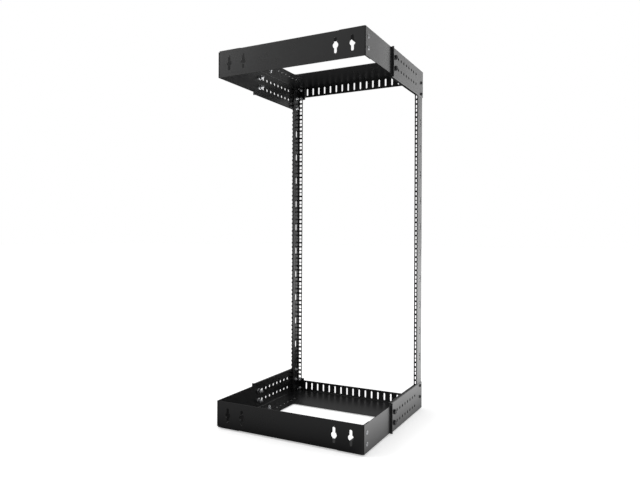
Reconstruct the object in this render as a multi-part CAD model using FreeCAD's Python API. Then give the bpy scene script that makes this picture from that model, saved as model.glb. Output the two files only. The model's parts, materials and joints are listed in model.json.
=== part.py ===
# Wall-mount open frame rack with two hole-punched posts.
#
# Two folded wall brackets bolt to a wall, one high and one low. Each slides into a
# wider front bracket, and bolts through a row of holes fix how far the rack stands
# out. Two channel-shaped rails join the front brackets and carry 19-inch equipment.
#
# Units are millimetres. +X is right as seen from the wall, +Y points away from the
# wall and +Z is up. While it is built, the wall is at Y = 0 and mid-height at Z = 0,
# and every piece is then moved so that the origin is at the bottom centre.

import FreeCAD
import Part
import math
import os

# Rack standard
UNIT = 44.45                # height of one rack unit
UNITS = 26                  # units punched in a rail, 24 of them clear of the brackets
HOLE_OFFSET = 15.875        # upper and lower hole of a unit, from its middle hole
HOLE_SPAN = 465.1           # left to right, between the two columns of square holes
HOLE_TO_WEB = 10.35         # from a column to the outer face of its rail
HOLE_TO_EDGE = 7.65         # from a column to the free edge of its flange
SQUARE = 9.5                # side of a square hole

# Sheet
SHEET = 2.0                 # thickness of every folded piece
BEND = 3.0                  # outer radius of a bend

# Overall
DEPTH = 520.5               # wall to the front of the front brackets
WALL_BRACKET_TOP = 577.5    # outer edge of a wall bracket, from mid-height
WALL_BRACKET_HEIGHT = 81.2  # height of a wall bracket's arm

# Wall plate
PLATE_SIDE = 38.0           # depth of a side flange
PLATE_SHELF = 78.0          # depth of the shelf folded back along the outer edge
SHELF_GAP = 1.0             # between that shelf and the arms' strips
KEYHOLE_FAR = 203.2         # outer keyholes, from the middle
KEYHOLE_NEAR = 152.4        # inner keyholes, from the middle
KEYHOLE_RADIUS = 8.6        # round middle of a keyhole
KEYHOLE_SLOT = 8.8          # width of the slots above and below it
KEYHOLE_HEIGHT = 44.5       # end to end

# Wall arm
ARM_PAST_BOLT = 16.6        # from the adjustment's bolts to the arm's free end
ARM_STRIP = 79.0            # width of the strip folded inward along the outer edge

# Rivets between plate and arm
RIVET_SETBACK = 19.0        # from the wall
RIVET_PITCH = 31.75
RIVET_RADIUS = 3.0
RIVET_HEAD_RADIUS = 6.2
RIVET_HEAD = 1.2

# Front bracket
END_MARGIN = 27.4           # from the bracket's near end to its first holes
BRACKET_HEIGHT = 91.0       # height of its arms
BRACKET_STRIP = 83.0        # width of the strip over an arm
BRACKET_CROSS = 180.0       # depth of the panel that joins the arms
RETURN_WIDTH = 10.0         # small flange along the arm's inner edge
RETURN_GAP = 6.0            # room left between that flange and a rail
END_LIP = 4.5               # flange turned outward at the near end
OPENING_RADIUS = 8.0        # inner corners of the panel

# Slotted lip across the front
LIP_HEIGHT = 38.5
LIP_SLOTS = 18
LIP_SLOT_PITCH = 24.16
LIP_SLOT_WIDTH = 6.0
LIP_SLOT_HEIGHT = 26.5
LIP_SLOT_EDGE = 6.0         # from the lip's outer edge to a slot's end
TAB_PAST_HOLE = 16.65       # tabs folded from the arms reach this far past the rails' holes
TAB_HEIGHT = 46.0
TAB_SLIT = 1.0              # cut between a tab and the lip

# Depth adjustment
ADJUST_FIRST = 235.4        # wall to the first hole, where the bolts are
ADJUST_PITCH = 25.4
ADJUST_ROWS = 33.0          # between the two rows of an arm
ADJUST_COUNT = 9            # holes in a row of an arm
FLANGE_COUNT = 8            # holes in the row over an arm
FLANGE_SETBACK = 13.4       # that row starts this much nearer the wall
FLANGE_ROW = 55.0           # that row, from the outer face of the arm
ADJUST_HOLE = 9.0           # across the flats of the cut

# Rail
RAIL_DEPTH = 54.0
REAR_FLANGE = 10.0          # narrower flange on the wall side
NOTCH_WIDTH = 6.5           # notches over the rear fold, into the rear flange
NOTCH_DEPTH = 6.0           # and into the web
RAIL_END_GAP = 2.5          # from a rail's end to the panel over it
WEB_LINE = 20.0             # slots and bolts in a rail's web, from its front face
WEB_SLOTS = 10
WEB_SLOT_PITCH = 2 * UNIT
WEB_SLOT_WIDTH = 9.0
WEB_SLOT_HEIGHT = 25.5
WEB_BOLT_PITCH = 38.1
RAIL_HOLE = 6.4             # holes for the rail's bolts and screws

# Fasteners
BIG_RADIUS = 4.0            # bolts of the depth adjustment
BIG_HEX = 13.0
BIG_HEAD = 5.0
BIG_NUT = 8.0
BIG_END = 8.0               # bolt end past its nut
LOW_RADIUS = 8.5            # low round head of the bolt through a panel
LOW_HEAD = 3.0
SMALL_RADIUS = 3.0          # bolts and screws of a rail
SMALL_HEX = 10.0
SMALL_HEAD = 3.3
SMALL_HEAD_RADIUS = 5.25
SMALL_NUT = 5.0
SMALL_END = 2.0
THREAD_PLAY = 0.1           # bolt to nut, all round

# Sides of what is round on the real rack, kept few because it repeats
HOLE_SIDES = 8
HEAD_SIDES = 10
SHANK_SIDES = 6
KEYHOLE_SIDES = 16
SLOT_END_SIDES = 3

# Worked out from the sizes above
ARM_INNER = HOLE_SPAN / 2 + HOLE_TO_WEB
ARM_OUTER = ARM_INNER + SHEET
PLATE_HALF = ARM_INNER - SHEET
HOLE_X = HOLE_SPAN / 2
PANEL_TOP = WALL_BRACKET_TOP + SHEET
BRACKET_EDGE = PANEL_TOP - BRACKET_HEIGHT
PLATE_EDGE = WALL_BRACKET_TOP - WALL_BRACKET_HEIGHT
PLATE_MIDDLE = (WALL_BRACKET_TOP + PLATE_EDGE) / 2
RAIL_FRONT = DEPTH - SHEET
RAIL_BACK = RAIL_FRONT - RAIL_DEPTH
RAIL_HALF = WALL_BRACKET_TOP - RAIL_END_GAP
RAIL_EDGE = HOLE_X - HOLE_TO_EDGE
ARM_REACH = ADJUST_FIRST + ARM_PAST_BOLT
BRACKET_START = ADJUST_FIRST - END_MARGIN
FLANGE_FIRST = ADJUST_FIRST - FLANGE_SETBACK
WEB_Y = RAIL_FRONT - WEB_LINE
FLANGE_X = ARM_OUTER - FLANGE_ROW
LAST_UNIT = (UNITS - 1) / 2 * UNIT
SCREW_HEIGHTS = (LAST_UNIT - HOLE_OFFSET, LAST_UNIT + HOLE_OFFSET)
WEB_BOLT_HEIGHTS = (PLATE_MIDDLE, PLATE_MIDDLE - WEB_BOLT_PITCH)
ADJUST_HEIGHTS = (PLATE_MIDDLE - ADJUST_ROWS / 2, PLATE_MIDDLE + ADJUST_ROWS / 2)
RIVET_HEIGHTS = (PLATE_MIDDLE - RIVET_PITCH / 2, PLATE_MIDDLE + RIVET_PITCH / 2)
TO_ORIGIN = FreeCAD.Vector(0, -(DEPTH + SMALL_HEAD) / 2, PANEL_TOP + LOW_HEAD)

X_AXIS = FreeCAD.Vector(1, 0, 0)
Y_AXIS = FreeCAD.Vector(0, 1, 0)
Z_AXIS = FreeCAD.Vector(0, 0, 1)
NEAR = 1e-6
PAST = 5.0                  # how far a cutting tool runs past what it cuts


def box(low, high):
    """Box between two corners."""
    size = [b - a for a, b in zip(low, high)]
    return Part.makeBox(*size, FreeCAD.Vector(*low))


def rounded_box(low, high, edges, radius):
    """Box with some edges rounded; an edge is its two fixed coordinates, None along it."""
    solid = box(low, high)
    chosen = []
    for edge in solid.Edges:
        for fixed in edges:
            points = [vertex.Point for vertex in edge.Vertexes]
            if all(f is None or abs(p[i] - f) < NEAR for p in points for i, f in enumerate(fixed)):
                chosen.append(edge)
    return solid.makeFillet(radius, chosen)


def folded(low, high, edges, open_low, open_high):
    """Folded sheet: a rounded box hollowed by one sheet, with the named sides left open."""
    outer = rounded_box(low, high, edges, BEND)
    inner_low = [a - PAST if is_open else a + SHEET for a, is_open in zip(low, open_low)]
    inner_high = [b + PAST if is_open else b - SHEET for b, is_open in zip(high, open_high)]
    moved = []
    for fixed in edges:
        shifted = [None, None, None]
        for i, value in enumerate(fixed):
            if value is not None:
                shifted[i] = inner_low[i] if abs(value - low[i]) < NEAR else inner_high[i]
        moved.append(shifted)
    inner = rounded_box(inner_low, inner_high, moved, BEND - SHEET)
    return outer.cut(inner)


def prism(inradius, sides, start, axis, length):
    """Regular prism from a point along an axis, given the distance to its flat sides."""
    radius = inradius / math.cos(math.pi / sides)
    turn = math.pi / sides
    points = []
    for k in range(sides + 1):
        angle = turn + 2 * math.pi * k / sides
        points.append(FreeCAD.Vector(radius * math.cos(angle), radius * math.sin(angle), 0))
    solid = Part.Face(Part.makePolygon(points)).extrude(Z_AXIS * length)
    solid.Placement = FreeCAD.Placement(FreeCAD.Vector(*start), FreeCAD.Rotation(Z_AXIS, axis))
    return solid


def hole(width, start, axis):
    """Cutting tool for a small round hole, run through a sheet at a point."""
    begin = FreeCAD.Vector(*start) - axis * PAST
    return prism(width / 2, HOLE_SIDES, begin, axis, 2 * PAST)


def shank(radius, length):
    """Shank that runs down from the origin, inside the round one's radius."""
    inradius = radius * math.cos(math.pi / SHANK_SIDES)
    return prism(inradius, SHANK_SIDES, (0, 0, -length), Z_AXIS, length)


def round_slot(width, height, centre, axis):
    """Cutting tool for a slot with true round ends that stands upright, run through along an axis."""
    radius = width / 2
    reach = height / 2 - radius
    start = FreeCAD.Vector(*centre) - axis * PAST
    across = Z_AXIS.cross(axis) * radius
    ends = [start + Z_AXIS * reach, start - Z_AXIS * reach]
    right = Part.LineSegment(ends[1] + across, ends[0] + across).toShape()
    top = Part.Arc(ends[0] + across, ends[0] + Z_AXIS * radius, ends[0] - across).toShape()
    left = Part.LineSegment(ends[0] - across, ends[1] - across).toShape()
    bottom = Part.Arc(ends[1] - across, ends[1] - Z_AXIS * radius, ends[1] + across).toShape()
    return Part.Face(Part.Wire([right, top, left, bottom])).extrude(axis * 2 * PAST)


def plain_slot(width, height, centre, axis):
    """The same slot with its round ends in a few straight steps."""
    radius = width / 2
    reach = height / 2 - radius
    start = FreeCAD.Vector(*centre) - axis * PAST
    across = Z_AXIS.cross(axis)
    points = []
    for end, first in ((reach, 0), (-reach, math.pi)):
        for k in range(SLOT_END_SIDES + 1):
            angle = first + math.pi * k / SLOT_END_SIDES
            offset = across * (radius * math.cos(angle)) + Z_AXIS * (end + radius * math.sin(angle))
            points.append(start + offset)
    return Part.Face(Part.makePolygon(points + [points[0]])).extrude(axis * 2 * PAST)


def aim(solid, point, direction):
    """Turn a solid made along +Z to a direction and set it at a point."""
    solid.Placement = FreeCAD.Placement(FreeCAD.Vector(*point), FreeCAD.Rotation(Z_AXIS, direction))
    return solid


def bolt(head_inradius, head_sides, head_height, radius, length):
    """Bolt whose head rises from the origin and whose shank runs down from it."""
    head = prism(head_inradius, head_sides, (0, 0, 0), Z_AXIS, head_height)
    return head.fuse(shank(radius, length))


def nut(flats, height, bolt_radius):
    """Hexagonal nut on the origin, along +Z."""
    body = prism(flats / 2, 6, (0, 0, 0), Z_AXIS, height)
    bore = prism(bolt_radius + THREAD_PLAY, SHANK_SIDES, (0, 0, -PAST), Z_AXIS, height + 2 * PAST)
    return body.cut(bore)


def wall_plate():
    """Upper wall plate: a back with two side flanges, a shelf and four double-ended keyholes."""
    top = WALL_BRACKET_TOP
    low = (-PLATE_HALF, 0, PLATE_EDGE)
    high = (PLATE_HALF, PLATE_SIDE, top)
    edges = [(low[0], low[1], None), (high[0], low[1], None)]
    tray = folded(low, high, edges, (False, False, True), (False, True, True))
    shelf_half = ARM_INNER - ARM_STRIP - SHELF_GAP
    shelf = folded(
        (-shelf_half, 0, top - 2 * BEND),
        (shelf_half, PLATE_SHELF, top),
        [(None, 0, top)],
        (True, False, True),
        (True, True, False),
    )
    tools = [
        box((-PLATE_HALF - PAST, BEND, top - BEND), (PLATE_HALF + PAST, PLATE_SIDE + PAST, top + PAST)),
        box((-shelf_half, -PAST, top - BEND), (shelf_half, BEND, top + PAST)),
    ]
    plate = tray.cut(tools).fuse(shelf).removeSplitter()
    tools = []
    for x in (-KEYHOLE_FAR, -KEYHOLE_NEAR, KEYHOLE_NEAR, KEYHOLE_FAR):
        middle = (x, -PAST, PLATE_MIDDLE)
        tools.append(prism(KEYHOLE_RADIUS, KEYHOLE_SIDES, middle, Y_AXIS, 2 * PAST))
        tools.append(round_slot(KEYHOLE_SLOT, KEYHOLE_HEIGHT, (x, 0, PLATE_MIDDLE), Y_AXIS))
    for z in RIVET_HEIGHTS:
        for x in (-PLATE_HALF, PLATE_HALF):
            tools.append(hole(2 * RIVET_RADIUS, (x, RIVET_SETBACK, z), X_AXIS))
    return plate.cut(tools)


def wall_arm():
    """Upper right wall arm: a web with a strip folded inward, cut back behind the wall plate."""
    low = (ARM_INNER - ARM_STRIP, 0, PLATE_EDGE)
    high = (ARM_INNER, ARM_REACH, WALL_BRACKET_TOP)
    arm = folded(low, high, [(high[0], None, high[2])], (True, True, True), (False, True, False))
    notch_end = BEND + SHELF_GAP
    tools = [box((low[0] - PAST, -PAST, high[2] - BEND), (high[0] + PAST, notch_end, high[2] + PAST))]
    for z in RIVET_HEIGHTS:
        tools.append(hole(2 * RIVET_RADIUS, (ARM_INNER, RIVET_SETBACK, z), X_AXIS))
    for z in ADJUST_HEIGHTS:
        tools.append(hole(ADJUST_HOLE, (ARM_INNER, ADJUST_FIRST, z), X_AXIS))
    tools.append(hole(ADJUST_HOLE, (FLANGE_X, FLANGE_FIRST, WALL_BRACKET_TOP), Z_AXIS))
    return arm.cut(tools)


def bracket_holes():
    """Cutting tools for the rows of adjustment holes of both arms."""
    tools = []
    for side in (-1, 1):
        for i in range(ADJUST_COUNT):
            y = ADJUST_FIRST + i * ADJUST_PITCH
            for z in ADJUST_HEIGHTS:
                tools.append(hole(ADJUST_HOLE, (side * ARM_OUTER, y, z), X_AXIS))
        for i in range(FLANGE_COUNT):
            y = FLANGE_FIRST + i * ADJUST_PITCH
            tools.append(hole(ADJUST_HOLE, (side * FLANGE_X, y, PANEL_TOP), Z_AXIS))
    return tools


def rail_fixing_holes():
    """Cutting tools for the rail bolts in the arms and the rail screws in the tabs."""
    tools = []
    for side in (-1, 1):
        for z in WEB_BOLT_HEIGHTS:
            tools.append(hole(RAIL_HOLE, (side * ARM_OUTER, WEB_Y, z), X_AXIS))
        for z in SCREW_HEIGHTS:
            tools.append(hole(RAIL_HOLE, (side * HOLE_X, DEPTH, z), Y_AXIS))
    return tools


def lip_slots():
    """Cutting tools for the upright slots of the front lip."""
    z = PANEL_TOP - LIP_SLOT_EDGE - LIP_SLOT_HEIGHT / 2
    first = -(LIP_SLOTS - 1) / 2 * LIP_SLOT_PITCH
    return [
        plain_slot(LIP_SLOT_WIDTH, LIP_SLOT_HEIGHT, (first + i * LIP_SLOT_PITCH, DEPTH, z), Y_AXIS)
        for i in range(LIP_SLOTS)
    ]


def corner_reliefs():
    """Cutting tools for the relief where three folds would meet at a front corner."""
    tools = []
    for low_x, high_x in ((-ARM_OUTER - PAST, -ARM_OUTER + BEND), (ARM_OUTER - BEND, ARM_OUTER + PAST)):
        for low_z, high_z in ((BRACKET_EDGE - PAST, BRACKET_EDGE + BEND), (PANEL_TOP - BEND, PANEL_TOP + PAST)):
            tools.append(box((low_x, DEPTH - BEND, low_z), (high_x, DEPTH + PAST, high_z)))
    return tools


def front_bracket():
    """Upper front bracket: a three-sided tray with arms, returns and a slotted lip."""
    low = (-ARM_OUTER, BRACKET_START, BRACKET_EDGE)
    high = (ARM_OUTER, DEPTH, PANEL_TOP)
    edges = [
        (low[0], None, high[2]),
        (high[0], None, high[2]),
        (None, high[1], high[2]),
        (low[0], high[1], None),
        (high[0], high[1], None),
        (low[0], None, low[2]),
        (high[0], None, low[2]),
    ]
    shell = folded(low, high, edges, (False, True, False), (False, False, False))
    tab_inner = HOLE_X - TAB_PAST_HOLE
    slit = tab_inner - TAB_SLIT
    lip_edge = PANEL_TOP - LIP_HEIGHT
    tab_edge = PANEL_TOP - TAB_HEIGHT
    front = DEPTH - SHEET
    below = BRACKET_EDGE - PAST
    panel_under = PANEL_TOP - BEND
    opening_half = ARM_OUTER - BRACKET_STRIP
    opening_end = DEPTH - BRACKET_CROSS
    return_inner = ARM_OUTER - RETURN_WIDTH
    return_end = RAIL_BACK - RETURN_GAP
    opening = rounded_box(
        (-opening_half, BRACKET_START - PAST, PANEL_TOP - PAST),
        (opening_half, opening_end, PANEL_TOP + PAST),
        [(-opening_half, opening_end, None), (opening_half, opening_end, None)],
        OPENING_RADIUS,
    )
    tools = [
        box((-slit, front - PAST, below), (slit, DEPTH + PAST, lip_edge)),
        box((-ARM_INNER, front, below), (ARM_INNER, DEPTH + PAST, tab_edge)),
        box((-tab_inner, front - PAST, below), (-slit, DEPTH + PAST, panel_under)),
        box((slit, front - PAST, below), (tab_inner, DEPTH + PAST, panel_under)),
        box((-return_inner, BRACKET_START - PAST, below), (return_inner, front, BRACKET_EDGE + PAST)),
        box((-ARM_INNER, return_end, below), (ARM_INNER, front, BRACKET_EDGE + PAST)),
        opening,
    ]
    tools += corner_reliefs() + bracket_holes() + rail_fixing_holes() + lip_slots()
    bracket = shell.cut(tools)
    lips = [
        box(
            (side * ARM_INNER if side > 0 else -ARM_OUTER - END_LIP, BRACKET_START - SHEET, BRACKET_EDGE),
            (ARM_OUTER + END_LIP if side > 0 else -ARM_INNER, BRACKET_START, PANEL_TOP),
        )
        for side in (-1, 1)
    ]
    return bracket.fuse(lips).removeSplitter()


def rail():
    """Right rail: a channel with square holes in front, notches over its rear fold and web slots."""
    low = (RAIL_EDGE, RAIL_BACK, -RAIL_HALF)
    high = (ARM_INNER, RAIL_FRONT, RAIL_HALF)
    edges = [(high[0], low[1], None), (high[0], high[1], None)]
    channel = folded(low, high, edges, (True, False, True), (False, False, True))
    tools = [
        box((low[0] - PAST, low[1] - PAST, low[2] - PAST), (high[0] - REAR_FLANGE, low[1] + BEND, high[2] + PAST))
    ]
    for unit in range(UNITS):
        middle = (unit - (UNITS - 1) / 2) * UNIT
        for z in (middle - HOLE_OFFSET, middle, middle + HOLE_OFFSET):
            tools.append(box(
                (HOLE_X - SQUARE / 2, RAIL_FRONT - PAST, z - SQUARE / 2),
                (HOLE_X + SQUARE / 2, RAIL_FRONT + PAST, z + SQUARE / 2),
            ))
            tools.append(box(
                (ARM_INNER - NOTCH_WIDTH, RAIL_BACK - PAST, z - SQUARE / 2),
                (ARM_INNER + PAST, RAIL_BACK + NOTCH_DEPTH, z + SQUARE / 2),
            ))
    for i in range(WEB_SLOTS):
        z = (i - (WEB_SLOTS - 1) / 2) * WEB_SLOT_PITCH
        tools.append(plain_slot(WEB_SLOT_WIDTH, WEB_SLOT_HEIGHT, (ARM_INNER, WEB_Y, z), X_AXIS))
    for z in WEB_BOLT_HEIGHTS:
        for sign in (-1, 1):
            tools.append(hole(RAIL_HOLE, (ARM_INNER, WEB_Y, sign * z), X_AXIS))
    return channel.cut(tools)


def rivets():
    """Upper right rivets, headed on both sides of the arm and the plate's flange."""
    grip = 2 * SHEET
    solids = []
    for z in RIVET_HEIGHTS:
        outer_head = prism(RIVET_HEAD_RADIUS, HEAD_SIDES, (0, 0, 0), Z_AXIS, RIVET_HEAD)
        inner_head = prism(RIVET_HEAD_RADIUS, HEAD_SIDES, (0, 0, -grip - RIVET_HEAD), Z_AXIS, RIVET_HEAD)
        rivet = outer_head.fuse([inner_head, shank(RIVET_RADIUS, grip)])
        solids.append(aim(rivet, (ARM_INNER, RIVET_SETBACK, z), X_AXIS))
    return solids


def depth_bolts():
    """Upper right bolts of the depth adjustment: two through the arm, one through the panel."""
    length = 2 * SHEET + BIG_NUT + BIG_END
    solids = []
    for z in ADJUST_HEIGHTS:
        made = bolt(BIG_HEX / 2, 6, BIG_HEAD, BIG_RADIUS, length)
        solids.append(aim(made, (ARM_OUTER, ADJUST_FIRST, z), X_AXIS))
    made = bolt(LOW_RADIUS, HEAD_SIDES, LOW_HEAD, BIG_RADIUS, length)
    solids.append(aim(made, (FLANGE_X, FLANGE_FIRST, PANEL_TOP), Z_AXIS))
    return solids


def depth_nuts():
    """Upper right nuts of the depth adjustment, inside the wall arm."""
    solids = []
    for z in ADJUST_HEIGHTS:
        made = nut(BIG_HEX, BIG_NUT, BIG_RADIUS)
        solids.append(aim(made, (ARM_INNER - SHEET, ADJUST_FIRST, z), -X_AXIS))
    made = nut(BIG_HEX, BIG_NUT, BIG_RADIUS)
    solids.append(aim(made, (FLANGE_X, FLANGE_FIRST, WALL_BRACKET_TOP - SHEET), -Z_AXIS))
    return solids


def rail_fixings(positions, make):
    """One solid at each position, turned to its direction."""
    return [aim(make(), point, direction) for point, direction in positions]


def small_bolt():
    """Bolt or screw with a low round head."""
    length = 2 * SHEET + SMALL_NUT + SMALL_END
    return bolt(SMALL_HEAD_RADIUS, HEAD_SIDES, SMALL_HEAD, SMALL_RADIUS, length)


def small_nut():
    """Nut for the same bolt."""
    return nut(SMALL_HEX, SMALL_NUT, SMALL_RADIUS)


def rail_bolts():
    """Upper right bolts through the arm and the rail's web."""
    return rail_fixings([((ARM_OUTER, WEB_Y, z), X_AXIS) for z in WEB_BOLT_HEIGHTS], small_bolt)


def rail_screws():
    """Upper right screws through the tab and the rail's front flange."""
    return rail_fixings([((HOLE_X, DEPTH, z), Y_AXIS) for z in SCREW_HEIGHTS], small_bolt)


def rail_nuts():
    """Upper right nuts on the rail's bolts and screws."""
    web = [((ARM_INNER - SHEET, WEB_Y, z), -X_AXIS) for z in WEB_BOLT_HEIGHTS]
    flange = [((HOLE_X, RAIL_FRONT - SHEET, z), -Y_AXIS) for z in SCREW_HEIGHTS]
    return rail_fixings(web + flange, small_nut)


def mirrored(solid, across_x, across_z):
    """Copy of a solid, mirrored left to right, top to bottom or both."""
    centre = FreeCAD.Vector(0, 0, 0)
    result = solid.copy()
    if across_x:
        result = result.mirror(centre, X_AXIS)
    if across_z:
        result = result.mirror(centre, Z_AXIS)
    return result


def write(name, solids):
    """Write one sub-part, moved to the part's origin."""
    moved = []
    for solid in solids:
        copy = solid.copy()
        copy.translate(TO_ORIGIN)
        moved.extend(copy.Solids)
    shape = moved[0] if len(moved) == 1 else Part.makeCompound(moved)
    shape.exportStep(os.path.join("parts", name + ".step"))
    print(name, len(moved), "solids", round(shape.Volume), "mm3")


def main():
    os.makedirs("parts", exist_ok=True)
    plate = wall_plate()
    bracket = front_bracket()
    right_rail = rail()
    for level, across_z in (("top", False), ("bottom", True)):
        write("wall_plate_" + level, [mirrored(plate, False, across_z)])
        write("front_bracket_" + level, [mirrored(bracket, False, across_z)])
    for hand, across_x in (("right", False), ("left", True)):
        write("rail_" + hand, [mirrored(right_rail, across_x, False)])
    corner_sets = {
        "wall_arm": [wall_arm()],
        "rivets": rivets(),
        "depth_bolts": depth_bolts(),
        "depth_nuts": depth_nuts(),
        "rail_bolts": rail_bolts(),
        "rail_screws": rail_screws(),
        "rail_nuts": rail_nuts(),
    }
    for name, solids in corner_sets.items():
        for level, across_z in (("top", False), ("bottom", True)):
            for hand, across_x in (("right", False), ("left", True)):
                copies = [mirrored(solid, across_x, across_z) for solid in solids]
                write("_".join((name, level, hand)), copies)


main()
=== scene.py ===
# %% [markdown]
# An open frame rack is almost nothing but folded sheet steel: two wall plates, four
# arms, two front trays and two punched rails, all in one black powder coat. The shape
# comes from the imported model, which this lesson loads as a fixed frame. What is left
# for Blender is the finish of the steel, the bolts, nuts and rivets that hold it
# together, the light, and the camera.

# %% Load the frame
import json
import math

import bmesh
import bpy
from mathutils import Euler, Matrix, Vector


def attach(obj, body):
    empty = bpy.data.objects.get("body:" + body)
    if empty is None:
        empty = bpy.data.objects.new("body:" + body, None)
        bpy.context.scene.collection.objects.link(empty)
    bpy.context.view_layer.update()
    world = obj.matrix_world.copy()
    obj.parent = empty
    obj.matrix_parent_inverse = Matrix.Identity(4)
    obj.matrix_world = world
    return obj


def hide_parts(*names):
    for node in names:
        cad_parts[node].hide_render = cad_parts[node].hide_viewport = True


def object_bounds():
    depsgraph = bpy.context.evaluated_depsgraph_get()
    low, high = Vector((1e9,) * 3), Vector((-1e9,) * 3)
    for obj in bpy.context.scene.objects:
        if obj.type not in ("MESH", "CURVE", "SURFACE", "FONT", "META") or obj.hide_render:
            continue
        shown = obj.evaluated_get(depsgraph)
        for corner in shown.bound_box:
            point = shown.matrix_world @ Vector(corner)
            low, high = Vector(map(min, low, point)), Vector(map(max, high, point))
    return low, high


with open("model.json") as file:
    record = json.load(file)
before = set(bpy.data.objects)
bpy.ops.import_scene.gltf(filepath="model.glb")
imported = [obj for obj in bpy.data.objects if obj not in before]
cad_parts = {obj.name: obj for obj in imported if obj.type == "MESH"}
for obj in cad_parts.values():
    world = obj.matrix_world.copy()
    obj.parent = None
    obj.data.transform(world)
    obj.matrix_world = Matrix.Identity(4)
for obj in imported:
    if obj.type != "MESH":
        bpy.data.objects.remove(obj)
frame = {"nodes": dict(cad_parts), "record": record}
cad_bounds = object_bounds()
nodes = frame["nodes"]
rack_middle = (Vector(cad_bounds[0]) + Vector(cad_bounds[1])) / 2
print("nodes", len(nodes), "box", cad_bounds)

# %% [markdown]
# The photograph is a catalogue picture taken from the wall side, level with the
# middle of the rack, with the camera well to the right. A camera can be nudged by eye
# until it looks right, but here a pinhole camera was fitted to the corners and holes of
# the rack, so that its place and turn are real sizes. The photograph is cropped a little
# off its optical axis, and the camera's shift repeats that.

# %% Camera
PICTURE_WIDTH = 640
PICTURE_HEIGHT = 480
FOCAL_PIXELS = 587.15
AXIS_PIXEL = (297.0, 236.9)
SENSOR = 36.0
CAMERA_PLACE = Vector((0.8363, -1.7312, 0.5916))
CAMERA_YAW = 0.4995
CAMERA_PITCH = -0.0005
CAMERA_ROLL = 0.0041

camera_data = bpy.data.cameras.new("photo_camera")
camera_data.sensor_width = SENSOR
camera_data.lens = FOCAL_PIXELS / PICTURE_WIDTH * SENSOR
camera_data.shift_x = (PICTURE_WIDTH / 2 - AXIS_PIXEL[0]) / PICTURE_WIDTH
camera_data.shift_y = (AXIS_PIXEL[1] - PICTURE_HEIGHT / 2) / PICTURE_WIDTH
camera = bpy.data.objects.new("photo_camera", camera_data)
bpy.context.scene.collection.objects.link(camera)
level_turn = Euler((math.pi / 2 + CAMERA_PITCH, 0, CAMERA_YAW)).to_matrix().to_4x4()
roll = Matrix.Rotation(CAMERA_ROLL, 4, "Z")
camera.matrix_world = Matrix.Translation(CAMERA_PLACE) @ level_turn @ roll
bpy.context.scene.camera = camera
print("lens", round(camera_data.lens, 2), "mm")

# %% [markdown]
# A node graph is easier to read as sums than as boxes and wires. One small class wraps
# a socket and overloads the operators, so that a mask can be written as
# `1 - noise * 0.3` and the Math nodes appear by themselves.

# %% Sums of sockets
class Sock:
    """A node socket that can be added, taken away, multiplied and divided."""

    def __init__(self, graph, socket):
        self.graph = graph
        self.socket = socket

    def math(self, operation, first, second):
        """One Math node on two sockets or numbers."""
        return self.graph.node("ShaderNodeMath", {"operation": operation}, {0: first, 1: second})

    def __add__(self, other):
        return self.math("ADD", self, other)

    def __radd__(self, other):
        return self.math("ADD", other, self)

    def __sub__(self, other):
        return self.math("SUBTRACT", self, other)

    def __rsub__(self, other):
        return self.math("SUBTRACT", other, self)

    def __mul__(self, other):
        return self.math("MULTIPLY", self, other)

    def __rmul__(self, other):
        return self.math("MULTIPLY", other, self)

    def __truediv__(self, other):
        return self.math("DIVIDE", self, other)

    def __rtruediv__(self, other):
        return self.math("DIVIDE", other, self)

    def also(self, name):
        """Another output of the same node."""
        return Sock(self.graph, self.socket.node.outputs[name])


print("sockets can be added, taken away, multiplied and divided")

# %% [markdown]
# Any other node comes from one method, which takes its type, its settings and its
# inputs. A few short methods on top of it name what this rack needs again and again: a
# ramp, a noise, a bump. The same class serves the materials, the sky and the tree that
# sets out the bolts, because all of them are node trees.

# %% Graphs
class Graph:
    """A node tree, of a material, the sky or a geometry group."""

    def __init__(self, tree):
        self.tree = tree
        self.tree.nodes.clear()

    def node(self, kind, settings=None, inputs=None, output=0):
        """A new node, first its settings and then the values or links of its sockets."""
        made = self.tree.nodes.new(kind)
        for name, value in (settings or {}).items():
            if name == "stops":
                for element, (place, level) in zip(made.color_ramp.elements, value):
                    element.position = place
                    element.color = (level, level, level, 1)
            else:
                setattr(made, name, value)
        for key, value in (inputs or {}).items():
            if isinstance(value, Sock):
                self.tree.links.new(value.socket, made.inputs[key])
            else:
                made.inputs[key].default_value = value
        return Sock(self, made.outputs[output]) if len(made.outputs) else None

    def ramp(self, value, low, high):
        """0 below low, 1 above high."""
        return self.node("ShaderNodeValToRGB", {"stops": ((low, 0.0), (high, 1.0))}, {"Fac": value})

    def spread(self, value, low, high, level):
        """0 below low, a level above high."""
        inputs = {"Value": value, "From Min": low, "From Max": high, "To Min": 0.0, "To Max": level}
        return self.node("ShaderNodeMapRange", None, inputs)

    def noise(self, scale, detail, roughness, stretch=(1, 1, 1)):
        """Noise on Object coordinates, in waves to the metre."""
        place = self.node("ShaderNodeTexCoord", output="Object")
        if stretch != (1, 1, 1):
            place = self.node("ShaderNodeMapping", None, {"Vector": place, "Scale": stretch})
        inputs = {"Vector": place, "Scale": scale, "Detail": detail, "Roughness": roughness}
        return self.node("ShaderNodeTexNoise", None, inputs)

    def mix_colour(self, factor, first, second):
        """A colour between two, which a Math node would turn grey."""
        mix_factor, mix_first, mix_second, mix_result = 0, 6, 7, 2
        inputs = {mix_factor: factor, mix_first: first, mix_second: second}
        return self.node("ShaderNodeMix", {"data_type": "RGBA"}, inputs, output=mix_result)

    def bump(self, height, strength, distance):
        """The normal of a surface that a pattern raises."""
        inputs = {"Height": height, "Strength": strength, "Distance": distance}
        return self.node("ShaderNodeBump", None, inputs)

    def surface(self, shader):
        """The material's output."""
        self.node("ShaderNodeOutputMaterial", None, {"Surface": shader})

    def principled(self, inputs):
        """A Principled shader at the material's output."""
        self.surface(self.node("ShaderNodeBsdfPrincipled", None, inputs))


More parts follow.
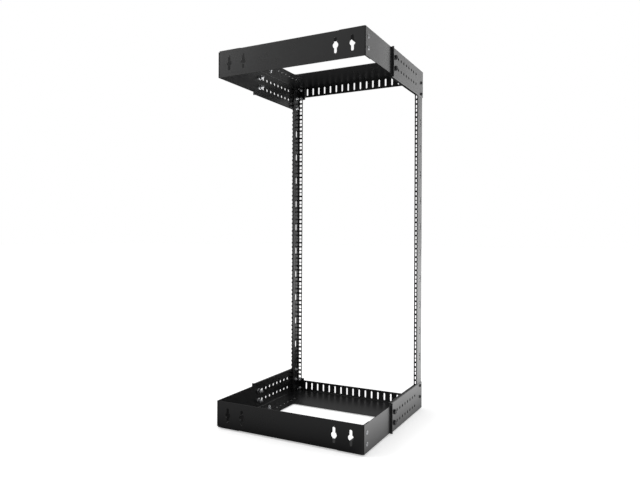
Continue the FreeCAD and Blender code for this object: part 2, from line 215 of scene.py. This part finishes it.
def material_graph(name):
    """A new material and its empty graph."""
    material = bpy.data.materials.new(name)
    material.use_nodes = True
    return material, Graph(material.node_tree)


print("graph tools ready")

# %% [markdown]
# The picture's background is plain white, and black steel is mostly seen by what it
# mirrors. A white sky for every ray would be simplest, but it turns the coat far paler
# than it looks in the picture. So the sky is white where the camera sees it and lights
# every surface at one plain level, and in a mirroring surface it shows a studio: one
# tall bright panel behind the rack on the right, which the right-hand faces catch at a
# glancing angle and turn grey, a softer front and left, and little light elsewhere.

# %% Sky
WHITE = (1, 1, 1, 1)
SKY_PLAIN = 0.75
SKY_BASE = 0.06
SKY_PANEL = 1.32
SKY_BEHIND = 0.10
SKY_FRONT = 0.52
SKY_ABOVE = 0.40
SKY_LEFT = 0.45
PANEL_LEFT = 0.05
PANEL_RIGHT = 0.50
PANEL_SOFT = 0.10
PANEL_DEPTH = (0.30, 0.50)
BEHIND_DEPTH = (0.40, 0.80)
FRONT_DEPTH = (0.20, 0.75)
ABOVE_HEIGHT = (0.20, 0.90)
LEFT_ACROSS = (0.60, 0.90)

world = bpy.data.worlds.new("studio")
bpy.context.scene.world = world
world.use_nodes = True
sky = Graph(world.node_tree)
direction = sky.node("ShaderNodeTexCoord", output="Generated")
across = sky.node("ShaderNodeSeparateXYZ", None, {"Vector": direction})
depth = across.also("Y")
height = across.also("Z")
slant = across / depth
panel_left = sky.spread(slant, PANEL_LEFT, PANEL_LEFT + PANEL_SOFT, 1.0)
panel_right = sky.spread(0 - slant, -PANEL_RIGHT, PANEL_SOFT - PANEL_RIGHT, 1.0)
panel = panel_left * panel_right * sky.spread(depth, *PANEL_DEPTH, SKY_PANEL)
behind = sky.spread(depth, *BEHIND_DEPTH, SKY_BEHIND)
in_front = sky.spread(0 - depth, *FRONT_DEPTH, SKY_FRONT)
above = sky.spread(height, *ABOVE_HEIGHT, SKY_ABOVE)
on_left = sky.spread(0 - across, *LEFT_ACROSS, SKY_LEFT)
studio_level = panel + behind + in_front + above + on_left + SKY_BASE
camera_ray = sky.node("ShaderNodeLightPath", output="Is Camera Ray")
glossy_ray = camera_ray.also("Is Glossy Ray")
on_steel = glossy_ray * studio_level + (1 - glossy_ray) * SKY_PLAIN
strength = camera_ray + (1 - camera_ray) * on_steel
background = sky.node("ShaderNodeBackground", None, {"Color": WHITE, "Strength": strength})
sky.node("ShaderNodeOutputWorld", None, {"Surface": background})
print("sky lights at", SKY_PLAIN, "and mirrors a panel of", SKY_PANEL)

# %% [markdown]
# The rack in the picture has no ground under it. A plain floor is still wanted for its
# faint contact shadow, white to the camera. What the steel mirrors of it is dim, which
# makes the lower wall plate darker than the upper one. On the right, where the panel's
# light would fall, the floor carries a painted pool of light, a glowing patch that the
# lower arms pick up, and a fainter painted glow lies on the wall side. The camera never
# sees either.

# %% Floor
FLOOR_SIZE = 60.0
FLOOR_SEEN = (0.9, 0.9, 0.9, 1)
FLOOR_GLOW = 0.46
FLOOR_MIRRORED = (0.07, 0.07, 0.07, 1)
# Painted light: the strength and place of a glowing pool on the right, and of a fainter painted glow on the
# wall side
FLOOR_PAINTED_LIGHT = 2.25
LIT_X = (0.20, 0.42)
LIT_Y = (-0.45, -0.20)
FLOOR_PAINTED_WALL_SIDE = 0.34
WALL_SIDE_Y = (0.27, 0.45)

half_floor = FLOOR_SIZE / 2
floor_mesh = bpy.data.meshes.new("studio_floor")
floor_corners = [(-half_floor, -half_floor, 0), (half_floor, -half_floor, 0),
                 (half_floor, half_floor, 0), (-half_floor, half_floor, 0)]
floor_mesh.from_pydata(floor_corners, [], [(0, 1, 2, 3)])
floor = bpy.data.objects.new("studio_floor", floor_mesh)
bpy.context.scene.collection.objects.link(floor)
floor_material, ground = material_graph("studio_floor")
seen = ground.node("ShaderNodeLightPath", output="Is Camera Ray")
spot = ground.node("ShaderNodeTexCoord", output="Object")
spot_x = ground.node("ShaderNodeSeparateXYZ", None, {"Vector": spot})
spot_y = spot_x.also("Y")
# painted light: glowing patches that only reflections and bounced light see, a pool on the right and a
# fainter band on the wall side
painted_light_right = ground.spread(spot_x, *LIT_X, 1.0) * ground.spread(spot_y, *LIT_Y, FLOOR_PAINTED_LIGHT)
lit = painted_light_right + ground.spread(0 - spot_y, *WALL_SIDE_Y, FLOOR_PAINTED_WALL_SIDE)
grey_base = ground.node("ShaderNodeBsdfDiffuse", None, {"Color": FLOOR_MIRRORED})
painted_light_glow = ground.node("ShaderNodeEmission", None, {"Color": WHITE, "Strength": lit})
mirrored = ground.node("ShaderNodeAddShader", None, {0: grey_base, 1: painted_light_glow})
white_base = ground.node("ShaderNodeBsdfDiffuse", None, {"Color": FLOOR_SEEN})
white_glow = ground.node("ShaderNodeEmission", None, {"Color": WHITE, "Strength": FLOOR_GLOW})
white = ground.node("ShaderNodeAddShader", None, {0: white_base, 1: white_glow})
ground.surface(ground.node("ShaderNodeMixShader", None, {0: seen, 1: mirrored, 2: white}))
floor_mesh.materials.append(floor_material)
print("floor", FLOOR_SIZE, "m")

# %% [markdown]
# Two soft lamps stand in for the studio's boxes. One stands behind the rack on the
# right, and gives the grey of the right-hand faces a gradient. The other is high on the
# left, and puts the highlights on bolts and bends. Spots would do too, but a satin coat
# mirrors a wide lamp as a soft patch and a small one as a hot point.

# %% Lamps
SIDE_PLACE = Vector((0.95, 3.3, 1.2))
SIDE_SIZE = 1.0
SIDE_POWER = 1.5
KEY_PLACE = Vector((-2.2, -1.8, 2.6))
KEY_SIZE = 1.6
KEY_POWER = 18


def lamp(name, place, size, power):
    """A square soft lamp turned to the middle of the rack."""
    data = bpy.data.lights.new(name, "AREA")
    data.size = size
    data.energy = power
    thing = bpy.data.objects.new(name, data)
    bpy.context.scene.collection.objects.link(thing)
    thing.location = place
    thing.rotation_euler = (rack_middle - place).to_track_quat("-Z", "Y").to_euler()


lamp("side_lamp", SIDE_PLACE, SIDE_SIZE, SIDE_POWER)
lamp("key_lamp", KEY_PLACE, KEY_SIZE, KEY_POWER)
print("lamps", SIDE_POWER, "and", KEY_POWER, "W")

# %% [markdown]
# The black finish is an electrostatic powder coat. Melted powder never lies quite
# flat: it has a fine orange peel about a millimetre across and a satin gloss. Seen
# close, the gloss is uneven, with fine specks, and long faint rub marks run from front
# to back, the way that the pieces slide over each other. A black this deep shows nearly
# nothing of its own colour, so roughness and bump do most of the work, and a painted
# image would add little.

# %% Powder coat
COAT_DEEP = (0.0060, 0.0060, 0.0064, 1)
COAT_PALE = (0.0125, 0.0125, 0.0132, 1)
COAT_IOR = 1.5
COAT_ROUGHNESS = 0.24
CLOUDS = (7.0, 4.0, 0.55)
CLOUDS_PALE = 0.45
CLOUDS_ROUGHEN = 0.10
PEEL = (900.0, 2.0, 0.6)
PEEL_BUMP = 0.25
PEEL_DEPTH = 0.0002
SPECKS = (1500.0, 1.0, 0.5)
SPECK_EDGES = (0.62, 0.78)
SPECKS_PALE = 0.25
SPECKS_ROUGHEN = 0.08
RUBS = (40.0, 3.0, 0.6)
RUB_STRETCH = (1.0, 0.06, 1.0)
RUB_EDGES = (0.60, 0.85)
RUBS_PALE = 0.30
RUBS_POLISH = 0.05


def powder_coat():
    """Satin black powder coat with orange peel."""
    material, shader = material_graph("black_powder_coat")
    clouds = shader.noise(*CLOUDS)
    peel = shader.noise(*PEEL)
    specks = shader.ramp(shader.noise(*SPECKS), *SPECK_EDGES)
    rubs = shader.ramp(shader.noise(*RUBS, RUB_STRETCH), *RUB_EDGES)
    pale = clouds * CLOUDS_PALE + specks * SPECKS_PALE + rubs * RUBS_PALE
    shader.principled({
        "Base Color": shader.mix_colour(pale, COAT_DEEP, COAT_PALE),
        "Roughness": COAT_ROUGHNESS + clouds * CLOUDS_ROUGHEN + specks * SPECKS_ROUGHEN - rubs * RUBS_POLISH,
        "IOR": COAT_IOR,
        "Normal": shader.bump(peel, PEEL_BUMP, PEEL_DEPTH),
    })
    return material


coat = powder_coat()
print("coat", coat.name)

# %% [markdown]
# The bolt heads are black zinc, duller than the coat. It is a dark plating and not a
# paint, but so little of it shows that a plain dull black with soft clouds is enough.

# %% Black zinc
BLACK_DEEP = (0.004, 0.004, 0.005, 1)
BLACK_PALE = (0.012, 0.012, 0.014, 1)
BLACK_SPECULAR = 0.25
BLACK_ROUGHNESS = 0.36
BLACK_CLOUDS = (160.0, 3.0, 0.6)
BLACK_CLOUDS_ROUGHEN = 0.14
BLACK_BUMP = 0.1
PLATING_DEPTH = 0.0001


def black_zinc():
    """Black plated steel with a soft dull sheen."""
    material, shader = material_graph("black_zinc")
    clouds = shader.noise(*BLACK_CLOUDS)
    shader.principled({
        "Base Color": shader.mix_colour(clouds, BLACK_DEEP, BLACK_PALE),
        "Roughness": BLACK_ROUGHNESS + clouds * BLACK_CLOUDS_ROUGHEN,
        "Specular IOR Level": BLACK_SPECULAR,
        "Normal": shader.bump(clouds, BLACK_BUMP, PLATING_DEPTH),
    })
    return material


bolt_black = black_zinc()
print("bolt finish", bolt_black.name)

# %% [markdown]
# The nuts and the threads are bright zinc and the rivets a duller grey one, with the
# faint cloudy film that a plating bath leaves and with fine scratches. Both are metals,
# so one function makes them, and only colour and roughness differ.

# %% Bright and dull zinc
BRIGHT_PALE = (0.86, 0.87, 0.88, 1)
BRIGHT_DULL = (0.62, 0.63, 0.65, 1)
BRIGHT_ROUGHNESS = 0.20
RIVET_PALE = (0.46, 0.46, 0.47, 1)
RIVET_DULL = (0.30, 0.31, 0.32, 1)
RIVET_ROUGHNESS = 0.40
ZINC_CLOUDS = (240.0, 3.0, 0.6)
ZINC_CLOUDS_ROUGHEN = 0.15
ZINC_SCRATCHES = (1400.0, 2.0, 0.5)
ZINC_BUMP = 0.15


def zinc(name, pale, dull, roughness):
    """Zinc plating with a cloudy film and fine scratches."""
    material, shader = material_graph(name)
    clouds = shader.noise(*ZINC_CLOUDS)
    scratches = shader.noise(*ZINC_SCRATCHES)
    shader.principled({
        "Base Color": shader.mix_colour(clouds, pale, dull),
        "Roughness": clouds * ZINC_CLOUDS_ROUGHEN + roughness,
        "Metallic": 1.0,
        "Normal": shader.bump(scratches, ZINC_BUMP, PLATING_DEPTH),
    })
    return material


bright_zinc = zinc("bright_zinc", BRIGHT_PALE, BRIGHT_DULL, BRIGHT_ROUGHNESS)
dull_zinc = zinc("dull_zinc", RIVET_PALE, RIVET_DULL, RIVET_ROUGHNESS)
print("zinc finishes", bright_zinc.name, dull_zinc.name)

# %% [markdown]
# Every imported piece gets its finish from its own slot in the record, so no piece is
# picked out by hand. The fasteners get theirs too, although detailed ones take their
# place below.

# %% Give every node its finish
FINISHES = {
    "powder_coat": coat,
    "black_fastener": bolt_black,
    "zinc_fastener": bright_zinc,
    "zinc_rivet": dull_zinc,
}
slot_of = {row["node"]: row["material_slot"] for row in frame["record"]["subparts"]}
for name, thing in nodes.items():
    thing.data.materials.clear()
    thing.data.materials.append(FINISHES[slot_of[name]])
print("finishes set on", len(nodes), "nodes")

# %% [markdown]
# A bolt, a nut and a rivet are all turned parts: rings stacked along an axis. A ring is
# either round or a hexagon, and a hexagon's top ring dips towards its corners, because
# the real chamfer is a cone. Cylinders joined by booleans would need cleaning up
# afterwards, and rings don't.

# %% Rings
RING_POINTS = 36
HEX_ANGLE = math.pi / 3
CHAMFER_SLOPE = math.tan(math.radians(30))


def ring_angles():
    """The angle of every point of a ring."""
    return [2 * math.pi * k / RING_POINTS for k in range(RING_POINTS)]


def round_ring(radius, height):
    """Circle of points at a height."""
    return [(radius * math.cos(a), radius * math.sin(a), height) for a in ring_angles()]


def hex_ring(flats, height, chamfer_radius=None):
    """Hexagon of points, dipping outside a chamfer's radius."""
    points = []
    for a in ring_angles():
        radius = flats / 2 / math.cos(a % HEX_ANGLE - HEX_ANGLE / 2)
        dip = max(0.0, radius - chamfer_radius) * CHAMFER_SLOPE if chamfer_radius else 0.0
        points.append((radius * math.cos(a), radius * math.sin(a), height - dip))
    return points


print("rings of", RING_POINTS, "points")

# %% [markdown]
# Skinning ring to ring gives every fastener, so each is a short list of radii and
# heights that reads like a lathe drawing. Faces under the head are marked as plated in
# an attribute, and the tree that sets out the fasteners gives them their own finish.

# %% Skins
PLATED_BELOW = -0.0001


def skin(name, rings, closed_loop):
    """Mesh through the rings, capped at both ends, or joined into a tube if it is a closed loop."""
    mesh = bpy.data.meshes.new(name)
    body = bmesh.new()
    rows = [[body.verts.new(point) for point in ring] for ring in rings]
    pairs = list(zip(rows, rows[1:]))
    if closed_loop:
        pairs.append((rows[-1], rows[0]))
    for lower, upper in pairs:
        for k in range(RING_POINTS):
            after = (k + 1) % RING_POINTS
            body.faces.new((lower[k], lower[after], upper[after], upper[k]))
    if not closed_loop:
        body.faces.new(rows[0][::-1])
        body.faces.new(rows[-1])
    bmesh.ops.recalc_face_normals(body, faces=body.faces)
    body.to_mesh(mesh)
    body.free()
    plated = mesh.attributes.new("plated", "BOOLEAN", "FACE")
    plated.data.foreach_set("value", [polygon.center.z < PLATED_BELOW for polygon in mesh.polygons])
    unit = bpy.data.objects.new(name, mesh)
    bpy.context.scene.collection.objects.link(unit)
    print(name, len(mesh.polygons), "faces")
    return unit


print("faces lower than", PLATED_BELOW, "m are plated")

# %% [markdown]
# Every bolt of the rack ends in bright thread past its nut. A true helix is a long mesh
# for a thread that covers a few pixels, so the thread is cut as rings, one groove to
# each pitch, which catches light like the real one at this size. The shank hangs under
# its head, at height 0, and passes two sheets and the nut.

# %% Threaded shanks
GRIP = 0.004
CREST_FROM = 0.4
CREST_TO = 0.6


def threaded_shank(radius, pitch, cut, nut, end):
    """Rings of a shank that hangs under its head: thread from its tip to the nut, then plain."""
    top = -(GRIP + nut)
    tip = top - end
    rings = [round_ring(radius - 2 * cut, tip), round_ring(radius - cut, tip + cut)]
    for k in range(int(end / pitch)):
        base = tip + cut + k * pitch
        rings.append(round_ring(radius, base + CREST_FROM * pitch))
        rings.append(round_ring(radius, base + CREST_TO * pitch))
        rings.append(round_ring(radius - cut, base + pitch))
    rings.append(round_ring(radius, top))
    rings.append(round_ring(radius, 0.0))
    return rings


print("grip", GRIP, "m")

# %% [markdown]
# The adjustment's bolts are small dark dots in the picture, so their form is taken from
# usual hardware: M8 with a flanged hexagonal head. The head is a wide thin flange, a
# hexagon with a chamfered top, and a shallow dish in its middle.

# %% Flanged bolts of the depth adjustment
DEPTH_NUT = 0.008
DEPTH_END = 0.008
DEPTH_HEAD = 0.005
DEPTH_FLATS = 0.013
THREAD_RADIUS = 0.004
THREAD_PITCH = 0.00125
THREAD_CUT = 0.00055
FLANGE_RADIUS = 0.0082
FLANGE_EDGE = 0.0006
FLANGE_TOP = 0.0013
FLANGE_SLOPE = 0.0008
HEX_FROM = 0.0016
CHAMFER_SHARE = 0.97
DISH_RIM = 0.0012
DISH_FOOT = 0.0018
DISH_EDGE = 0.0006
DISH_DEPTH = 0.0008
LAST_RING = 0.0004

depth_shank = threaded_shank(THREAD_RADIUS, THREAD_PITCH, THREAD_CUT, DEPTH_NUT, DEPTH_END)
hex_chamfer = DEPTH_FLATS / 2 * CHAMFER_SHARE
flanged_bolt = skin("flanged_bolt_unit", depth_shank + [
    round_ring(FLANGE_RADIUS, 0.0),
    round_ring(FLANGE_RADIUS, FLANGE_EDGE),
    round_ring(FLANGE_RADIUS - FLANGE_SLOPE, FLANGE_TOP),
    hex_ring(DEPTH_FLATS, HEX_FROM),
    hex_ring(DEPTH_FLATS, DEPTH_HEAD, hex_chamfer),
    round_ring(hex_chamfer, DEPTH_HEAD),
    round_ring(hex_chamfer - DISH_RIM, DEPTH_HEAD),
    round_ring(hex_chamfer - DISH_FOOT, DEPTH_HEAD - DISH_EDGE),
    round_ring(LAST_RING, DEPTH_HEAD - DISH_DEPTH),
], False)

# %% [markdown]
# The bolt through a panel has a low plain round head, so that the rack can stand close
# to other things. Its profile is written as shares of its radius and height.

# %% Low bolts of the panels
LOW_RADIUS = 0.0085
LOW_HEAD = 0.003
LOW_PROFILE = ((1.0, 0.0), (1.0, 0.2), (0.96, 0.42), (0.86, 0.64), (0.70, 0.82), (0.50, 0.93), (0.26, 0.99))
low_rings = [round_ring(LOW_RADIUS * r, LOW_HEAD * z) for r, z in LOW_PROFILE]
low_bolt = skin("low_bolt_unit", depth_shank + low_rings + [round_ring(LAST_RING, LOW_HEAD)], False)

# %% [markdown]
# The nuts are flanged too. A nut is a tube, so its rings close on themselves: out and
# up over the hexagon, then down through the bore, with a small chamfer at both mouths.
# The bore has a little play, so that bolt and nut never share a face.

# %% Nuts
BORE_PLAY = 0.0001
MOUTH = 0.0005
NUT_EDGE = 0.0005
NUT_SLOPE = 0.0009
RAIL_NUT = 0.005
RAIL_FLATS = 0.010
RAIL_FLANGE_RADIUS = 0.0062
RAIL_THREAD = 0.003


def flanged_nut(name, flats, flange_radius, height, bolt_radius):
    """A hexagonal nut on a thin flange, with chamfered mouths."""
    bore = bolt_radius + BORE_PLAY
    chamfer = flats / 2 * CHAMFER_SHARE
    return skin(name, [
        round_ring(flange_radius, 0.0),
        round_ring(flange_radius, NUT_EDGE),
        round_ring(flange_radius - NUT_SLOPE, FLANGE_TOP),
        hex_ring(flats, HEX_FROM),
        hex_ring(flats, height, chamfer),
        round_ring(chamfer, height),
        round_ring(bore + MOUTH, height),
        round_ring(bore, height - MOUTH),
        round_ring(bore, MOUTH),
        round_ring(bore + MOUTH, 0.0),
    ], True)


depth_nut = flanged_nut("depth_nut_unit", DEPTH_FLATS, FLANGE_RADIUS, DEPTH_NUT, THREAD_RADIUS)
rail_nut = flanged_nut("rail_nut_unit", RAIL_FLATS, RAIL_FLANGE_RADIUS, RAIL_NUT, RAIL_THREAD)

# %% [markdown]
# The bolts of the rails are modelled as M6, with a button head and a hexagonal socket.
# The socket is a real recess and not a dark mark: the rings turn inward at the top and
# go down again as a hexagon.

# %% Button-head bolts of the rails
RAIL_END = 0.002
RAIL_HEAD = 0.0033
RAIL_PITCH = 0.001
RAIL_CUT = 0.00045
BUTTON_RADIUS = 0.00525
BUTTON_PROFILE = ((1.0, 0.0), (1.0, 0.25), (0.95, 0.55), (0.84, 0.80), (0.70, 0.95), (0.58, 1.0))
SOCKET_FLATS = 0.004
SOCKET_DEPTH = 0.0018
SOCKET_POINT = 0.0004
rail_shank = threaded_shank(RAIL_THREAD, RAIL_PITCH, RAIL_CUT, RAIL_NUT, RAIL_END)
button_rings = [round_ring(BUTTON_RADIUS * r, RAIL_HEAD * z) for r, z in BUTTON_PROFILE]
button_bolt = skin("button_bolt_unit", rail_shank + button_rings + [
    hex_ring(SOCKET_FLATS, RAIL_HEAD),
    hex_ring(SOCKET_FLATS, RAIL_HEAD - SOCKET_DEPTH),
    round_ring(LAST_RING, RAIL_HEAD - SOCKET_DEPTH - SOCKET_POINT),
], False)

# %% [markdown]
# Wall plate and wall arm are joined for good with blind rivets. The photograph shows
# each as a pale ring round a dark spot: a domed flange with the hollow that its broken
# pin leaves. The hollow is modelled, because a dark dot in the material would stay dark
# in every light. The far side is the small bulb that the pin pulled up.

# %% Rivets
RIVET_HEAD_RADIUS = 0.0062
RIVET_HEAD = 0.0012
RIVET_PROFILE = ((1.0, 0.0), (1.0, 0.3), (0.92, 0.7), (0.70, 1.0), (0.45, 1.0))
RIVET_SHANK = 0.003
RIVET_TIP = 0.0012
RIVET_BULB = 0.0046
BULB_PROFILE = ((0.75, 0.9), (1.0, 0.5), (1.0, 0.0))
RIVET_HOLLOW = 0.0021
HOLLOW_MOUTH = 0.75
HOLLOW_FOOT = 0.0015
HOLLOW_END = 0.0018
bulb_rings = [round_ring(RIVET_BULB * r, -GRIP - RIVET_HEAD * z) for r, z in BULB_PROFILE]
rivet_rings = [round_ring(RIVET_HEAD_RADIUS * r, RIVET_HEAD * z) for r, z in RIVET_PROFILE]
blind_rivet = skin("blind_rivet_unit", [
    round_ring(RIVET_TIP, -GRIP - RIVET_HEAD),
    *bulb_rings,
    round_ring(RIVET_SHANK, -GRIP),
    round_ring(RIVET_SHANK, 0.0),
    *rivet_rings,
    round_ring(RIVET_HOLLOW, RIVET_HEAD * HOLLOW_MOUTH),
    round_ring(RIVET_HOLLOW, -HOLLOW_FOOT),
    round_ring(LAST_RING, -HOLLOW_END),
], False)

# %% [markdown]
# Where a fastener sits could be typed in, but it is already in the frame: each solid of
# a fastener's node is one plain bolt, nut or rivet, and its box gives the seat. A bolt
# lies along its longest side and points away from the middle of the rack, and a nut
# along its shortest, pointing in.

# %% Seats from the frame
MERGE = 1e-6


def solids_of(node):
    """Lowest and highest corner of every separate solid of a node."""
    copy = bmesh.new()
    copy.from_mesh(nodes[node].data)
    bmesh.ops.remove_doubles(copy, verts=copy.verts, dist=MERGE)
    unseen = set(copy.verts)
    boxes = []
    while unseen:
        group = [unseen.pop()]
        for vertex in group:
            for edge in vertex.link_edges:
                other = edge.other_vert(vertex)
                if other in unseen:
                    unseen.remove(other)
                    group.append(other)
        low = Vector([min(v.co[i] for v in group) for i in range(3)])
        high = Vector([max(v.co[i] for v in group) for i in range(3)])
        boxes.append((low, high))
    copy.free()
    return sorted(boxes, key=lambda box: tuple(box[0]))


def seat(low, high, longest, outward, head):
    """Seat and direction of one fastener, from its box and the height of its head."""
    sizes = high - low
    pick = max if longest else min
    axis = pick(range(3), key=lambda i: sizes[i])
    middle = (low + high) / 2
    side = 1 if middle[axis] > rack_middle[axis] else -1
    sign = side if outward else -side
    middle[axis] = (high[axis] if sign > 0 else low[axis]) - sign * head
    facing = Vector((0, 0, 0))
    facing[axis] = sign
    return middle, facing


print("solids in depth_bolts_top_left", len(solids_of("depth_bolts_top_left")))

# %% [markdown]
# One Geometry Nodes tree sets out every kind of fastener. It takes the seats as points,
# turns a copy of the unit to each point's direction, spins it about its own axis by a
# seeded random angle, because nobody tightens bolts with their flats in line, and gives
# the head one finish and the thread another. A loop in Python could copy the units as
# well, but one tree with named inputs serves all six of them.

# %% Tree that sets fasteners on seats
def fastener_tree():
    """A Geometry Nodes group with named inputs, and the sockets by name."""
    group = bpy.data.node_groups.new("fasteners_on_seats", "GeometryNodeTree")
    graph = Graph(group)
    sockets = {}
    for name, kind in (("Seats", "Geometry"), ("Unit", "Object"), ("Turn", "Float"), ("Seed", "Int"),
                       ("Finish", "Material"), ("Plated finish", "Material")):
        socket = group.interface.new_socket(name, in_out="INPUT", socket_type="NodeSocket" + kind)
        sockets[name] = socket.identifier
    group.interface.new_socket("Fasteners", in_out="OUTPUT", socket_type="NodeSocketGeometry")
    given = graph.node("NodeGroupInput")
    facing = graph.node("GeometryNodeInputNamedAttribute", {"data_type": "FLOAT_VECTOR"}, {"Name": "facing"})
    aimed = graph.node("FunctionNodeAlignRotationToVector", {"axis": "Z"}, {"Vector": facing})
    least, most, value = 2, 3, 1
    angle = graph.node("FunctionNodeRandomValue", {"data_type": "FLOAT"},
                       {least: 0.0, most: given.also("Turn"), "Seed": given.also("Seed")}, output=value)
    spin = graph.node("FunctionNodeAxisAngleToRotation", None, {"Axis": (0, 0, 1), "Angle": angle})
    turned = graph.node("FunctionNodeRotateRotation", {"rotation_space": "LOCAL"},
                        {"Rotation": aimed, "Rotate By": spin})
    unit = graph.node("GeometryNodeObjectInfo", None, {"Object": given.also("Unit")}, output="Geometry")
    placed = graph.node("GeometryNodeInstanceOnPoints", None,
                        {"Points": given.also("Seats"), "Instance": unit, "Rotation": turned})
    real = graph.node("GeometryNodeRealizeInstances", None, {"Geometry": placed})
    painted = graph.node("GeometryNodeSetMaterial", None,
                         {"Geometry": real, "Material": given.also("Finish")})
    plated = graph.node("GeometryNodeInputNamedAttribute", {"data_type": "BOOLEAN"}, {"Name": "plated"})
    finished = graph.node("GeometryNodeSetMaterial", None,
                          {"Geometry": painted, "Selection": plated, "Material": given.also("Plated finish")})
    graph.node("NodeGroupOutput", None, {0: finished})
    return group, sockets


fasteners, fastener_sockets = fastener_tree()
print("tree inputs", ", ".join(fastener_sockets))

# %% [markdown]
# Each kind of fastener becomes one plain mesh, because the export wants real faces and
# not instances. The seats' object carries the tree only until its result is taken.

# %% Set out a kind of fastener
SPIN = 2 * math.pi
SMOOTH_ANGLE = math.radians(35)


def set_out(piece_name, unit, places, finish, plated, seed):
    """One mesh object with the unit at every seat."""
    points = bpy.data.meshes.new(piece_name + "_seats")
    points.from_pydata([point for point, facing in places], [], [])
    directions = points.attributes.new("facing", "FLOAT_VECTOR", "POINT")
    directions.data.foreach_set("vector", [value for point, facing in places for value in facing])
    holder = bpy.data.objects.new(piece_name + "_seats", points)
    bpy.context.scene.collection.objects.link(holder)
    modifier = holder.modifiers.new("fasteners", "NODES")
    modifier.node_group = fasteners
    given = {"Unit": unit, "Turn": SPIN, "Seed": seed, "Finish": finish, "Plated finish": plated}
    for name, value in given.items():
        modifier[fastener_sockets[name]] = value
    evaluated = holder.evaluated_get(bpy.context.evaluated_depsgraph_get())
    mesh = bpy.data.meshes.new_from_object(evaluated)
    mesh.name = piece_name
    bpy.data.objects.remove(holder)
    mesh.shade_smooth()
    mesh.set_sharp_from_angle(angle=SMOOTH_ANGLE)
    piece = bpy.data.objects.new(piece_name, mesh)
    bpy.context.scene.collection.objects.link(piece)
    return piece


print("bolts spin by up to", round(SPIN, 2), "radians")

# %% [markdown]
# A detailed piece then takes the place of the plain nodes that it covers, and rides with
# the rack's one body.

# %% Fasten
STRAIGHT = 0.5


def nodes_named(start):
    """The frame's nodes whose names start alike, in order."""
    return sorted(name for name in nodes if name.startswith(start))


def fasten(piece_name, unit, start, longest, outward, head, finish, plated, seed, along=None):
    """Put detailed fasteners in place of the plain ones whose nodes' names start alike."""
    replaced = nodes_named(start)
    places = []
    for node in replaced:
        for low, high in solids_of(node):
            point, facing = seat(low, high, longest, outward, head)
            if along is None or abs(facing[along]) > STRAIGHT:
                places.append((point, facing))
    piece = set_out(piece_name, unit, places, finish, plated, seed)
    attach(piece, "root")
    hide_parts(*replaced)
    print(piece_name, len(places), "in place of", len(replaced), "nodes")


print("nodes with depth bolts", len(nodes_named("depth_bolts")))

# %% [markdown]
# The bolts and nuts of the depth adjustment come first: eight hexagonal ones through
# the arms, along X, and four low ones through the panels, along Z.

# %% Fasteners of the depth adjustment
ALONG_X = 0
ALONG_Z = 2
fasten("flanged_depth_bolts", flanged_bolt, "depth_bolts", longest=True, outward=True, head=DEPTH_HEAD,
       finish=bolt_black, plated=bright_zinc, seed=3, along=ALONG_X)
fasten("low_panel_bolts", low_bolt, "depth_bolts", longest=True, outward=True, head=LOW_HEAD,
       finish=bolt_black, plated=bright_zinc, seed=4, along=ALONG_Z)
fasten("flanged_depth_nuts", depth_nut, "depth_nuts", longest=False, outward=False, head=DEPTH_NUT,
       finish=bright_zinc, plated=bright_zinc, seed=5)

# %% [markdown]
# Then the rails: two bolts through each arm and web, two screws through each tab and
# front flange, and a nut behind each of them.

# %% Fasteners of the rails
fasten("rail_web_bolts", button_bolt, "rail_bolts", longest=True, outward=True, head=RAIL_HEAD,
       finish=bolt_black, plated=bright_zinc, seed=6)
fasten("rail_front_screws", button_bolt, "rail_screws", longest=True, outward=True, head=RAIL_HEAD,
       finish=bolt_black, plated=bright_zinc, seed=7)
fasten("flanged_rail_nuts", rail_nut, "rail_nuts", longest=False, outward=False, head=RAIL_NUT,
       finish=bright_zinc, plated=bright_zinc, seed=8)

# %% [markdown]
# Last, the rivets of the wall brackets, two at each arm. The units that everything was
# copied from are taken away again.

# %% Rivets of the wall brackets
fasten("blind_rivets", blind_rivet, "rivets", longest=False, outward=True, head=RIVET_HEAD,
       finish=dull_zinc, plated=dull_zinc, seed=9)
for unit in (flanged_bolt, low_bolt, depth_nut, rail_nut, button_bolt, blind_rivet):
    bpy.data.objects.remove(unit)

# %% [markdown]
# Last, the picture's colours are shown through the plain Standard view transform.

# %% Finish
bpy.context.scene.view_settings.view_transform = "Standard"
